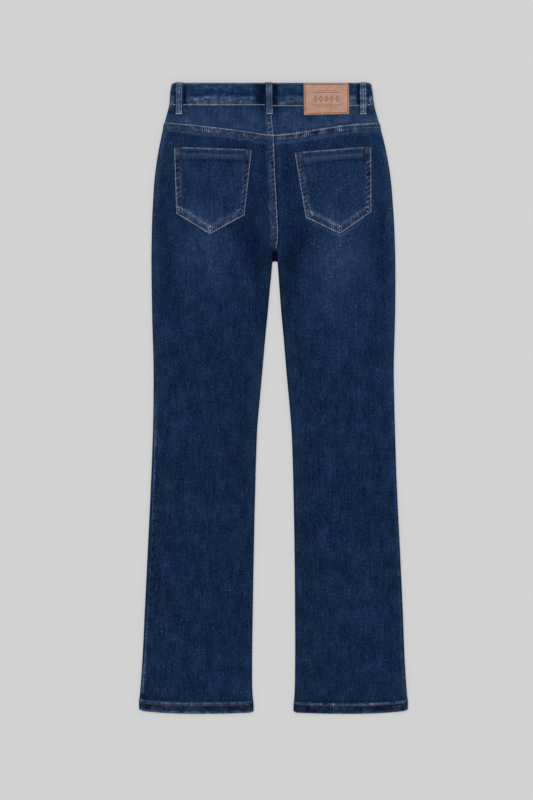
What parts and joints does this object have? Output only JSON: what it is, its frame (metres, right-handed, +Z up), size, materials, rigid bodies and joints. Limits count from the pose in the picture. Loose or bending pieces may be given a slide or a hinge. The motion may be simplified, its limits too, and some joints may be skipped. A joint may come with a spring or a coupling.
{
  "type": "slim fit jeans",
  "caption": "Slim blue denim jeans laid flat with the back up: yokes, patch pockets, belt loops, a plain waistband patch and hemmed legs that widen a little.",
  "frame": {"origin": "middle of the garment's width and length, on the surface that it lies on", "axes": "+X across to the wearer's right, since the back faces up; +Y along the garment from the hems to the waist; +Z up from the surface, through the front cloth to the back"},
  "size_m": [0.4472, 1.05, 0.0097],
  "materials": {
    "denim": "washed stretch denim, matt, with worn seams",
    "leather": "tan, lightly grained, satin",
    "button_metal": "aged, satin",
    "thread": "spun sewing thread, faded"
  },
  "bodies": {
    "root": {"back_leg_left": "denim", "back_leg_right": "denim", "front_leg_left": "denim", "front_leg_right": "denim", "yoke_left": "denim", "yoke_right": "denim", "waistband_back": "denim", "waistband_front_left": "denim", "waistband_front_right": "denim", "pocket_left": "denim", "pocket_right": "denim", "loop_back_left": "denim", "loop_back_centre": "denim", "loop_back_right": "denim", "loop_front_left": "denim", "loop_front_right": "denim", "patch": "leather", "button": "button_metal"}
  },
  "joints": []
}
